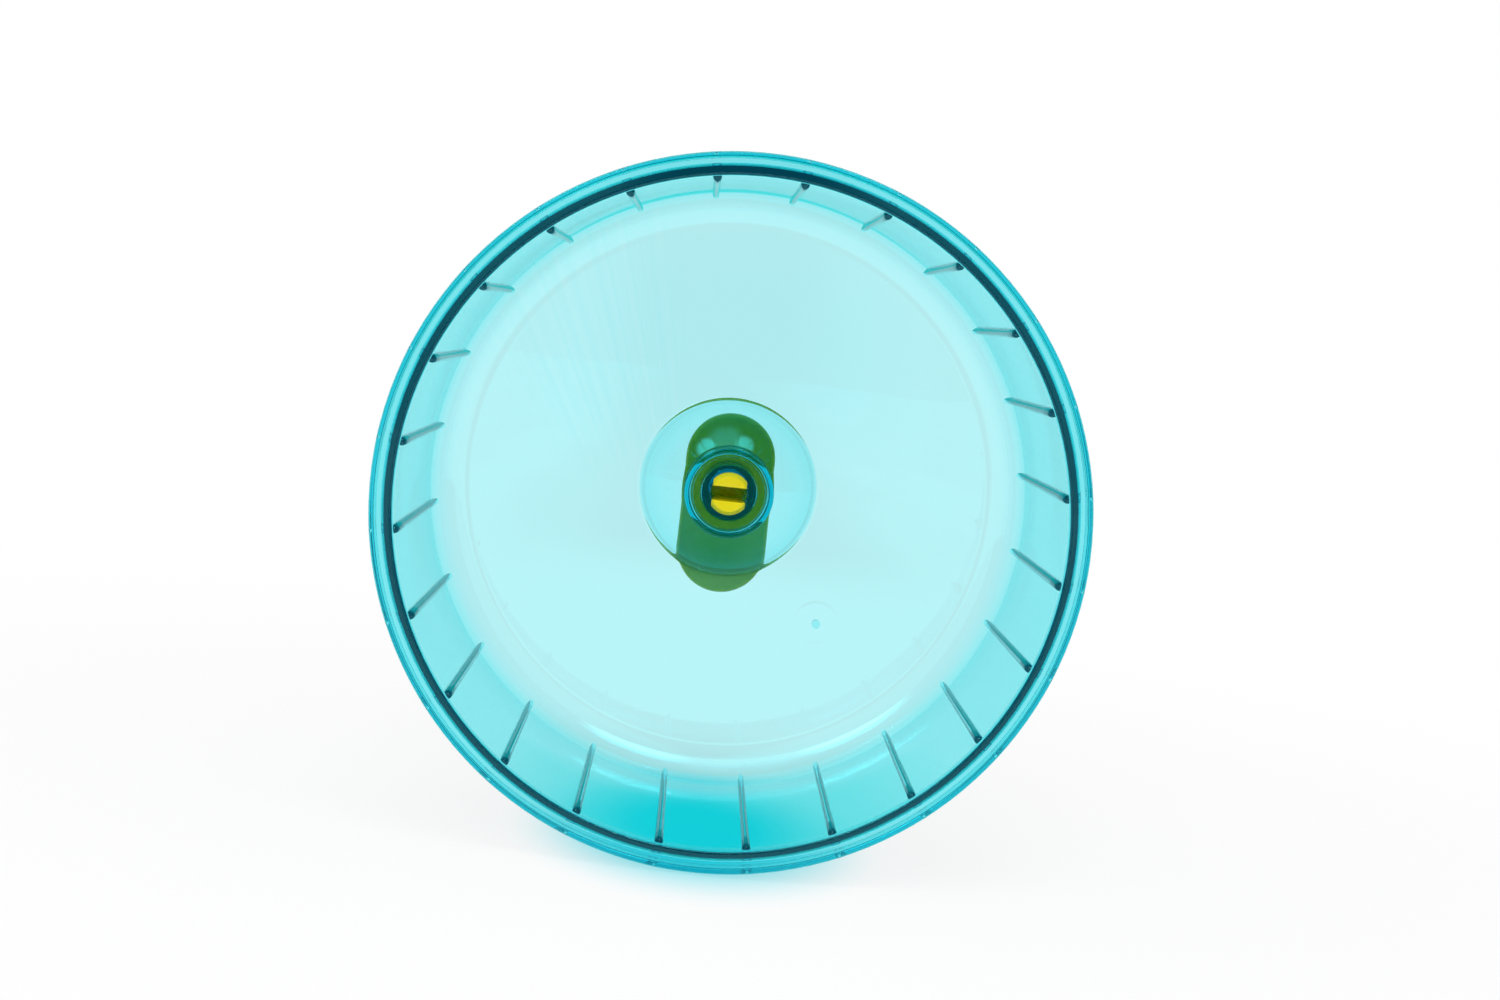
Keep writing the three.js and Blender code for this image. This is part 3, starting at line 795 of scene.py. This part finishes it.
def snap_axle():
    """The axle with its head split by the slot and flattened on both sides."""
    head_front = DISH_PLACE + DISC_FRONT - END_FLOAT - HEAD_HEIGHT
    slot_end = head_front + SLOT_DEPTH
    over = 1
    side = SHAFT_RADIUS + HOOK_CATCH + over
    slot = block("slot", (-side, head_front - over, -SLOT_WIDTH / 2), (side, slot_end, SLOT_WIDTH / 2))
    slot_round = arc(slot_end, 0, SLOT_WIDTH / 2, SLOT_WIDTH / 2, 0, 360, ROUND_SIDES)[:-1]
    flats = [
        block("flat", (HEAD_FLAT, head_front - over, -side), (side, head_front + HEAD_HEIGHT, side)),
        block("flat", (-side, head_front - over, -side), (-HEAD_FLAT, head_front + HEAD_HEIGHT, side)),
    ]
    axle = turned("snap_axle", axle_outline(head_front))
    return combined(axle, "DIFFERENCE", slot, drawn_along_x("slot_round", slot_round, 2 * side), *flats)


def bracket_inside():
    """Spine, axle core and the bridges at the fingers' roots, kept inside the capsule."""
    floor = -BRACKET_DEPTH + BRACKET_FACE / 2
    bottom = BRACKET_TOP - BRACKET_HEIGHT
    roots = [
        (UPPER_BAR + BAR_SEAT, UPPER_BAR + BAR_SEAT + HOOK_THICKNESS),
        (LOWER_BAR + BAR_SEAT, LOWER_BAR + BAR_SEAT + CLIP_THICKNESS),
        (LOWER_BAR - BAR_SEAT - CLIP_THICKNESS, LOWER_BAR - BAR_SEAT),
    ]
    spine = block("spine", (-BRACKET_WEB / 2, floor, bottom), (BRACKET_WEB / 2, 0, BRACKET_TOP))
    core = turned("core", [(0, floor), (CORE_RADIUS, floor), (CORE_RADIUS, 0), (0, 0)])
    bridges = [
        block("bridge", (-CAPSULE_RADIUS, floor, low), (CAPSULE_RADIUS, 0, high)) for low, high in roots
    ]
    limit = loft("limit", [capsule_ring(BRACKET_WALL / 2, floor - 1), capsule_ring(BRACKET_WALL / 2, 0)])
    return combined(combined(spine, "UNION", core, *bridges), "INTERSECT", limit)


def axle_bracket():
    """The bracket with its hook, clip and axle as one mesh, with its sharp edges broken."""
    front = -BRACKET_DEPTH
    rounding = arc(BRACKET_ROUND, BRACKET_ROUND, BRACKET_ROUND, BRACKET_ROUND, 270, 180, BRACKET_ROUND_STEPS)
    rings = [capsule_ring(inset, front + depth) for inset, depth in rounding]
    rings += [capsule_ring(0, -BRACKET_REAR_ROUND), capsule_ring(BRACKET_REAR_ROUND, 0)]
    body = loft("axle_bracket_body", rings)
    pocket = loft("pocket", [
        capsule_ring(BRACKET_WALL + POCKET_ROUND, front + BRACKET_FACE),
        capsule_ring(BRACKET_WALL, front + BRACKET_FACE + POCKET_ROUND),
        capsule_ring(BRACKET_WALL, 1),
    ])
    body = combined(body, "DIFFERENCE", pocket)
    body = combined(
        body, "UNION", bracket_inside(),
        drawn_along_x("hook", hook_outline(), FINGER_WIDTH),
        drawn_along_x("clip_upper", clip_outline(1), FINGER_WIDTH),
        drawn_along_x("clip_lower", clip_outline(-1), FINGER_WIDTH),
        snap_axle(),
    )
    edges = body.modifiers.new("edges", "BEVEL")
    edges.limit_method = "ANGLE"
    edges.angle_limit = BRACKET_BREAK_ANGLE
    edges.width = BRACKET_BREAK * MM
    edges.segments = 2
    return plain_mesh(body, "snap_bracket")


def shade_by_angle(piece, angle):
    """Smooth shading, with creases where faces meet at more than an angle."""
    mesh = piece.data
    mesh.polygons.foreach_set("use_smooth", [True] * len(mesh.polygons))
    mesh.set_sharp_from_angle(angle=angle)


# ---- Finishes


def moulded_skin():
    """Fine surface of a moulded plastic: slow waviness, hairline scratches and a haze in the gloss."""
    tree, given, made = new_tree("moulded_skin", "ShaderNodeTree", [
        ("Wave Size", "Float", 0.02),
        ("Wave Depth", "Float", 0.00001),
        ("Scratch Depth", "Float", 0.000002),
        ("Grain Size", "Float", 0.0004),
        ("Grain Depth", "Float", 0.000001),
        ("Low Roughness", "Float", 0.03),
        ("High Roughness", "Float", 0.1),
    ], [("Roughness", "Float"), ("Height", "Float"), ("Haze", "Float")])
    given, made = given.outputs, made.inputs
    spot = place(tree, "ShaderNodeTexCoord").outputs["Object"]

    def step(operation, *values):
        return number_step(tree, operation, *values)

    def noise(scale, detail, vector=spot):
        return place(tree, "ShaderNodeTexNoise", {"Vector": vector, "Scale": scale, "Detail": detail}).outputs["Fac"]

    waves = noise(step("DIVIDE", 1.0, given["Wave Size"]), 1.0)
    grain = noise(step("DIVIDE", 1.0, given["Grain Size"]), 2.0)
    scratched = 0.0
    for turn, stretch in SCRATCH_LAYERS:
        laid = place(tree, "ShaderNodeMapping", {"Vector": spot, "Rotation": turn, "Scale": stretch}).outputs[0]
        lines = ramp(tree, noise(1.0, 2.0, laid), *SCRATCH_CUT, smooth=False)
        scratched = step("MAXIMUM", scratched, lines)
    haze = ramp(tree, noise(HAZE_SCALE, 4.0), 0.35, 0.7, smooth=False)
    worn = step("MAXIMUM", step("MULTIPLY", haze, 0.5), scratched)
    rough = ramp(tree, worn, 0.0, 1.0, given["Low Roughness"], given["High Roughness"], smooth=False)
    height = step("ADD", step("MULTIPLY", waves, given["Wave Depth"]), step("MULTIPLY", grain, given["Grain Depth"]))
    height = step("SUBTRACT", height, step("MULTIPLY", scratched, given["Scratch Depth"]))
    tree.links.new(rough, made["Roughness"])
    tree.links.new(height, made["Height"])
    tree.links.new(haze, made["Haze"])
    return tree


def new_material(name):
    """A material and its empty node tree."""
    material = bpy.data.materials.new(name)
    material.use_nodes = True
    tree = material.node_tree
    tree.nodes.clear()
    return material, tree


def painted_glow_inside(tree):
    """Painted glow: emission that stands in for the faint blue light carried along the way through clear plastic from
    one of its faces to the next. It is as much as an even glow in the depth of the plastic would give, so long ways
    end in its colour. Light that many inner reflections or faces have guided along a wall ends in that colour too.
    """
    seen = place(tree, "ShaderNodeLightPath").outputs
    inside = place(tree, "ShaderNodeNewGeometry").outputs["Backfacing"]
    levels = [0]
    for glow, clear in zip(PAINTED_GLOW[1:], PLASTIC_COLOUR[1:]):
        faded = number_step(tree, "MULTIPLY", seen["Ray Length"], (1 - clear) * PLASTIC_DENSITY)
        faded = number_step(tree, "MINIMUM", faded, MOST_FADED)
        gained = number_step(tree, "SUBTRACT", number_step(tree, "EXPONENT", faded), 1.0)
        levels.append(number_step(tree, "MULTIPLY", number_step(tree, "MULTIPLY", gained, glow), inside))
    painted_glow_along_way = place(tree, "ShaderNodeCombineColor", dict(enumerate(levels))).outputs[0]
    guided = number_step(
        tree, "MAXIMUM",
        number_step(tree, "GREATER_THAN", seen["Glossy Depth"], GUIDED_REFLECTIONS),
        number_step(tree, "GREATER_THAN", seen["Ray Depth"], GUIDED_FACES),
    )
    return blended(tree, guided, painted_glow_along_way, PAINTED_GLOW)


def flow_streaks(tree, spot):
    """Where the plastic is a little deeper in colour: a broad patch over the axle, and streaks of its flow."""
    from_patch = vector_step(tree, "SUBTRACT", spot, PATCH_PLACE)
    far = vector_step(tree, "LENGTH", vector_step(tree, "MULTIPLY", from_patch, PATCH_STRETCH))
    patch = ramp(tree, far, *PATCH_EDGE, 1.0, 0.0)
    fan = place(tree, "ShaderNodeSeparateXYZ", {0: vector_step(tree, "SUBTRACT", spot, FAN_PLACE)}).outputs
    turn = number_step(tree, "ARCTAN2", fan["X"], fan["Z"])
    lines = place(tree, "ShaderNodeTexNoise", {
        "W": number_step(tree, "MULTIPLY", turn, FAN_LINES), "Detail": 1.5,
    }, noise_dimensions="1D").outputs[0]
    lines = ramp(tree, lines, 0.35, 0.65, smooth=False)
    aside = number_step(tree, "ABSOLUTE", number_step(tree, "ADD", turn, FAN_TURN))
    within = ramp(tree, aside, *FAN_EDGE, 1.0, 0.0)
    ahead = ramp(tree, fan["Z"], *FAN_START)
    streaks = number_step(tree, "MULTIPLY", number_step(tree, "MULTIPLY", within, ahead), lines)
    return number_step(
        tree, "ADD",
        number_step(tree, "MULTIPLY", patch, PATCH_DEPTH), number_step(tree, "MULTIPLY", streaks, STREAK_DEPTH),
    )


def gate_ring(tree, spot):
    """Height of the faint ring that the nozzle has left round the gate."""
    from_gate = vector_step(tree, "SUBTRACT", spot, gate_place(0))
    away = vector_step(tree, "LENGTH", vector_step(tree, "MULTIPLY", from_gate, (1, 0, 1)))
    beside = number_step(tree, "ABSOLUTE", number_step(tree, "SUBTRACT", away, GATE_RING * MM))
    return ramp(tree, beside, 0.0, GATE_RING_WIDTH * MM, GATE_RING_HEIGHT * MM, 0.0)


def cyan_plastic(skin):
    """Clear tinted polystyrene: the colour comes from the depth of plastic that the light crosses, and its emission
    is a painted glow along long ways through it.
    """
    material, tree = new_material("cyan_clear_styrene")
    surface = place(tree, "ShaderNodeGroup", {
        "Wave Size": 0.03, "Wave Depth": 0.00003, "Scratch Depth": 0.0000004, "Grain Size": 0.002,
        "Grain Depth": 0.0000003, "Low Roughness": 0.0, "High Roughness": 0.04,
    }, node_tree=skin).outputs
    spot = place(tree, "ShaderNodeTexCoord").outputs["Object"]
    height = number_step(tree, "ADD", surface["Height"], gate_ring(tree, spot))
    bump = place(tree, "ShaderNodeBump", {"Height": height, "Strength": 1.0, "Distance": 1.0})
    plastic = place(tree, "ShaderNodeBsdfPrincipled", {
        "Base Color": blended(tree, flow_streaks(tree, spot), (1, 1, 1), STREAK_COLOUR),
        "Roughness": surface["Roughness"], "IOR": 1.57, "Transmission Weight": 1.0,
        "Normal": bump.outputs["Normal"], "Specular Tint": (*GLOSS_TINT, 1),
        "Emission Color": painted_glow_inside(tree), "Emission Strength": 1.0,
    })
    tint = place(tree, "ShaderNodeVolumeAbsorption", {"Color": (*PLASTIC_COLOUR, 1), "Density": PLASTIC_DENSITY})
    output = place(tree, "ShaderNodeOutputMaterial")
    tree.links.new(plastic.outputs["BSDF"], output.inputs["Surface"])
    tree.links.new(tint.outputs["Volume"], output.inputs["Volume"])
    return material


def yellow_plastic(skin):
    """Opaque yellow moulding with a soft gloss."""
    material, tree = new_material("yellow_moulded_plastic")
    surface = place(tree, "ShaderNodeGroup", {
        "Wave Size": 0.006, "Wave Depth": 0.00002, "Scratch Depth": 0.000002, "Grain Size": 0.0003,
        "Grain Depth": 0.0000015, "Low Roughness": 0.22, "High Roughness": 0.42,
    }, node_tree=skin).outputs
    bump = place(tree, "ShaderNodeBump", {"Height": surface["Height"], "Strength": 1.0, "Distance": 1.0})
    plastic = place(tree, "ShaderNodeBsdfPrincipled", {
        "Base Color": blended(tree, surface["Haze"], YELLOW, HAZY_YELLOW),
        "Roughness": surface["Roughness"], "Normal": bump.outputs["Normal"], "Specular IOR Level": 0.3,
    })
    output = place(tree, "ShaderNodeOutputMaterial")
    tree.links.new(plastic.outputs["BSDF"], output.inputs["Surface"])
    return material


# ---- Studio


def mirrored_rays(tree):
    """Two masks: light that a glossy surface has mirrored, and such light that went through plastic too."""
    seen = place(tree, "ShaderNodeLightPath").outputs
    mirrored = number_step(tree, "GREATER_THAN", seen["Glossy Depth"], 0.5)
    mirrored = number_step(tree, "MULTIPLY", mirrored, seen["Is Glossy Ray"])
    through = number_step(tree, "GREATER_THAN", seen["Transmission Depth"], 0.5)
    return mirrored, number_step(tree, "MULTIPLY", mirrored, through)


def white_surroundings():
    """White where the camera or clear plastic look, and a softer light for everything else.

    Gloss mirrors the white behind the wheel, and the dim room in front of it with its lamps.
    """
    world = bpy.data.worlds.new("white_surroundings")
    bpy.context.scene.world = world
    world.use_nodes = True
    tree = world.node_tree
    tree.nodes.clear()
    seen = place(tree, "ShaderNodeLightPath").outputs
    white = number_step(tree, "MAXIMUM", seen["Is Glossy Ray"], seen["Is Transmission Ray"])
    white = number_step(tree, "MAXIMUM", seen["Is Camera Ray"], white)
    strength = ramp(tree, white, 0.0, 1.0, SOFT_LIGHT, 1.0, smooth=False)
    mirrored, through = mirrored_rays(tree)
    generated = place(tree, "ShaderNodeTexCoord").outputs["Generated"]
    towards = place(tree, "ShaderNodeSeparateXYZ", {0: generated}).outputs
    room = ramp(tree, towards["Y"], *ROOM_EDGE, ROOM_LEVEL, 1.0)
    lamps = 0.0
    for aim, level, reach in ROOM_LAMPS:
        facing = vector_step(tree, "DOT_PRODUCT", generated, Vector(aim).normalized())
        edge, core = math.cos(math.radians(reach)), math.cos(math.radians(reach / 3))
        lamps = number_step(tree, "MAXIMUM", lamps, ramp(tree, facing, edge, core, 0.0, level))
    dimmed = place(tree, "ShaderNodeMix", {"Factor": mirrored, 2: 1.0, 3: room}, data_type="FLOAT").outputs[0]
    above = ramp(tree, towards["Z"], *DEEP_TINT_EDGE, smooth=False)
    tint = blended(tree, through, (1, 1, 1), blended(tree, above, MIRRORED_TINT, DEEP_TINT))
    strength = number_step(tree, "MULTIPLY", strength, dimmed)
    lit = vector_step(tree, "MULTIPLY_ADD", tint, strength, number_step(tree, "MULTIPLY", mirrored, lamps))
    glow = place(tree, "ShaderNodeBackground", {"Color": lit, "Strength": 1.0})
    output = place(tree, "ShaderNodeOutputWorld")
    tree.links.new(glow.outputs[0], output.inputs["Surface"])


def softbox(name, spot, size, power):
    """A soft lamp aimed at the wheel, which neither gloss nor clear plastic shows."""
    lamp = bpy.data.lights.new(name, "AREA")
    lamp.shape = "RECTANGLE"
    lamp.size, lamp.size_y = size
    lamp.energy = power
    holder = bpy.data.objects.new(name, lamp)
    holder.location = spot
    holder.rotation_mode = "QUATERNION"
    holder.rotation_quaternion = (Vector(WHEEL_MIDDLE) - Vector(spot)).to_track_quat("-Z", "Y")
    holder.visible_glossy = False
    holder.visible_transmission = False
    bpy.context.scene.collection.objects.link(holder)


def uneven_light():
    """Soft clouds of brighter and darker light in a room, from its own place."""
    tree, given, made = new_tree("uneven_light", "ShaderNodeTree", [
        ("Cloud Size", "Float", 0.3),
        ("Stretch", "Vector", (1, 1, 1)),
        ("Low", "Float", 0.0),
        ("High", "Float", 1.0),
    ], [("Light", "Float")])
    given = given.outputs
    spot = place(tree, "ShaderNodeTexCoord").outputs["Object"]
    clouds = place(tree, "ShaderNodeTexNoise", {
        "Vector": vector_step(tree, "DIVIDE", spot, given["Stretch"]),
        "Scale": number_step(tree, "DIVIDE", 1.0, given["Cloud Size"]), "Detail": 2.0,
    }).outputs["Fac"]
    tree.links.new(ramp(tree, clouds, 0.35, 0.65, given["Low"], given["High"]), made.inputs["Light"])
    return tree


def room_light(tree, uneven, spot):
    """The uneven light of the room, dim where the camera and its stand are in its way."""
    across = place(tree, "ShaderNodeSeparateXYZ", {0: spot}).outputs["X"]
    aside = number_step(tree, "ABSOLUTE", number_step(tree, "SUBTRACT", across, STAND_PLACE))
    lit = ramp(tree, aside, *STAND_EDGE, STAND_LEVEL, 1.0)
    clouds = place(tree, "ShaderNodeGroup", {
        "Cloud Size": 0.12, "Stretch": (0.35, 2.5, 2.5), "Low": 0.75, "High": 1.0,
    }, node_tree=uneven).outputs[0]
    return number_step(tree, "MULTIPLY", lit, clouds)


def dark_room(uneven):
    """The dim room behind the camera, which only gloss mirrors."""
    reach, away = ROOM_REACH, -ROOM_DISTANCE
    corners = [(-reach, away, -reach), (reach, away, -reach), (reach, away, reach), (-reach, away, reach)]
    wall = mesh_object("dark_room", corners, [(0, 1, 2, 3)])
    material, tree = new_material("dim_room")
    spot = place(tree, "ShaderNodeTexCoord").outputs["Object"]
    glow = place(tree, "ShaderNodeEmission", {"Color": (*ROOM_COLOUR, 1), "Strength": room_light(tree, uneven, spot)})
    unseen = place(tree, "ShaderNodeBsdfTransparent")
    mirrored = mirrored_rays(tree)[0]
    either = place(tree, "ShaderNodeMixShader", {0: mirrored, 1: unseen.outputs[0], 2: glow.outputs[0]})
    output = place(tree, "ShaderNodeOutputMaterial")
    tree.links.new(either.outputs[0], output.inputs["Surface"])
    wall.data.materials.append(material)
    wall.visible_camera = False
    wall.visible_diffuse = False
    wall.visible_transmission = False
    wall.visible_shadow = False


def pale_floor(uneven):
    """A pale table under the rim, white far off, with a painted pool of cyan light under the wheel in place of the
    light that the dish throws on it, and a painted shadow of the camera's stand.
    """
    reach, level = FLOOR_REACH, -RIM_RADIUS - FLOOR_GAP
    corners = [(-reach, -reach, level), (reach, -reach, level), (reach, reach, level), (-reach, reach, level)]
    floor = mesh_object("pale_floor", corners, [(0, 1, 2, 3)])
    material, tree = new_material("pale_table")
    spot = place(tree, "ShaderNodeTexCoord").outputs["Object"]
    seen = place(tree, "ShaderNodeLightPath").outputs
    mirrored, through = mirrored_rays(tree)

    def fade(reach_x, reach_y, inner, outer):
        """1 under the wheel, falling to 0 between two shares of an ellipse round it."""
        laid = vector_step(tree, "SUBTRACT", spot, SHADOW_MIDDLE)
        laid = vector_step(tree, "MULTIPLY", laid, (1 / reach_x, 1 / reach_y, 0))
        return ramp(tree, vector_step(tree, "LENGTH", laid), inner, outer, 1.0, 0.0)

    def product(*values):
        return number_step(tree, "MULTIPLY", *values)

    # The table's own matt colour and the white that the camera and clear plastic see in its place, both with a
    # painted pool of cyan light under the wheel
    pool = fade(0.034, 0.05, 0.3, 1.2)
    matt = place(tree, "ShaderNodeBsdfDiffuse", {"Color": blended(tree, pool, MATT_TABLE, PAINTED_POOL_MATT)})
    glowing = blended(tree, pool, (1, 1, 1), PAINTED_POOL_GLOW)
    glowing = blended(tree, 1.0, glowing, blended(tree, through, (1, 1, 1), MIRRORED_TINT), "MULTIPLY")
    white = place(tree, "ShaderNodeEmission", {"Color": glowing, "Strength": 1.0})
    direct = ramp(tree, fade(0.1, 0.1, 0.4, 4.0), 0.0, 1.0, 1.0, 0.86, smooth=False)
    indirect = ramp(tree, fade(0.05, 0.09, 0.6, 1.6), 0.0, 1.0, 1.0, 0.85, smooth=False)
    share = product(direct, seen["Is Camera Ray"])
    share = number_step(tree, "MAXIMUM", share, product(indirect, seen["Is Transmission Ray"]))
    share = number_step(tree, "MAXIMUM", share, product(indirect, seen["Is Glossy Ray"]))
    mixed = place(tree, "ShaderNodeMixShader", {0: share, 1: matt.outputs[0], 2: white.outputs[0]})

    # The table is painted black toward the camera in light that the dish's floor mirrors: a painted shadow where the
    # camera's stand would keep light off it
    depth = place(tree, "ShaderNodeSeparateXYZ", {0: spot}).outputs["Y"]
    far_off = ramp(tree, depth, *PAINTED_STAND_SHADOW, 1.0, 0.0)
    painted_shadow_mask = product(far_off, number_step(tree, "SUBTRACT", 1.0, room_light(tree, uneven, spot)))
    painted_shadow_mask = product(painted_shadow_mask, mirrored)
    dark = place(tree, "ShaderNodeBsdfDiffuse", {"Color": (0, 0, 0, 1)})
    shown = place(tree, "ShaderNodeMixShader", {0: painted_shadow_mask, 1: mixed.outputs[0], 2: dark.outputs[0]})
    output = place(tree, "ShaderNodeOutputMaterial")
    tree.links.new(shown.outputs[0], output.inputs["Surface"])
    floor.data.materials.append(material)


def camera():
    """The photograph's view: from a little above the axle, turned slightly anticlockwise."""
    lens = bpy.data.cameras.new("camera")
    lens.lens, lens.sensor_width = LENS_LENGTH, SENSOR_WIDTH
    lens.shift_x, lens.shift_y = LENS_SHIFT
    lens.clip_start, lens.clip_end = 0.01, 20
    holder = bpy.data.objects.new("camera", lens)
    placed = Matrix.Translation(Vector(CAMERA_PLACE) * MM)
    for degrees, axis in CAMERA_TURNS:
        placed = placed @ Matrix.Rotation(math.radians(degrees), 4, axis)
    holder.matrix_world = placed
    bpy.context.scene.collection.objects.link(holder)
    bpy.context.scene.camera = holder


bpy.context.scene.view_settings.view_transform = "Standard"
camera()
white_surroundings()
for softbox_values in SOFTBOXES:
    softbox(*softbox_values)
uneven = uneven_light()
dark_room(uneven)
pale_floor(uneven)

skin = moulded_skin()
dish = running_dish(cyan_plastic(skin))
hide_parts("running_dish")
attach(dish, "wheel")

bracket = axle_bracket()
shade_by_angle(bracket, BRACKET_CREASE)
bracket.data.materials.clear()
bracket.data.materials.append(yellow_plastic(skin))
bracket.data.polygons.foreach_set("material_index", [0] * len(bracket.data.polygons))
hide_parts("axle_bracket")
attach(bracket, "bracket")
